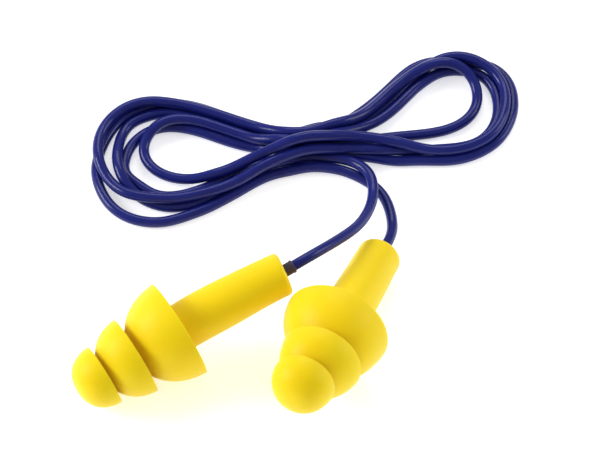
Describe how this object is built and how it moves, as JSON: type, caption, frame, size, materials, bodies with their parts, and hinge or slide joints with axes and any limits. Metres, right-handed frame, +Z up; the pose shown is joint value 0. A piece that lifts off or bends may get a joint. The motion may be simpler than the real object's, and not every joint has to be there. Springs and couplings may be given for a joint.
{
  "type": "corded ear plugs",
  "caption": "Triple-flange reusable ear plugs with plain stems, joined by a thin glossy cord wound into a loose figure-of-eight hank.",
  "frame": {"origin": "bottom centre of the box around the two plugs and their cord inserts, on the surface they lie on", "axes": "+Z up; +X to the right along the pair, +Y from the plugs towards the hank of cord"},
  "size_m": [0.0535, 0.0577, 0.0123],
  "materials": {
    "plug_elastomer": "satin",
    "cord_vinyl": "gloss",
    "insert_vinyl": "satin"
  },
  "bodies": {
    "cord": {"cord_hank": "cord_vinyl", "left_cord_lead": "cord_vinyl", "right_cord_lead": "cord_vinyl", "left_cord_insert": "insert_vinyl", "right_cord_insert": "insert_vinyl"},
    "left_ear_plug": {"left_plug": "plug_elastomer"},
    "right_ear_plug": {"right_plug": "plug_elastomer"}
  },
  "joints": [
    {"name": "left_plug_swivel", "type": "hinge", "parent": "cord", "child": "left_ear_plug", "pos_m": [-0.0064, -0.0011, 0.00608], "axis": [0.8601, 0.4709, 0.1959], "continuous": true},
    {"name": "right_plug_swivel", "type": "hinge", "parent": "cord", "child": "right_ear_plug", "pos_m": [0.0119, -0.0003, 0.00592], "axis": [0.3722, 0.8943, -0.2485], "continuous": true}
  ]
}
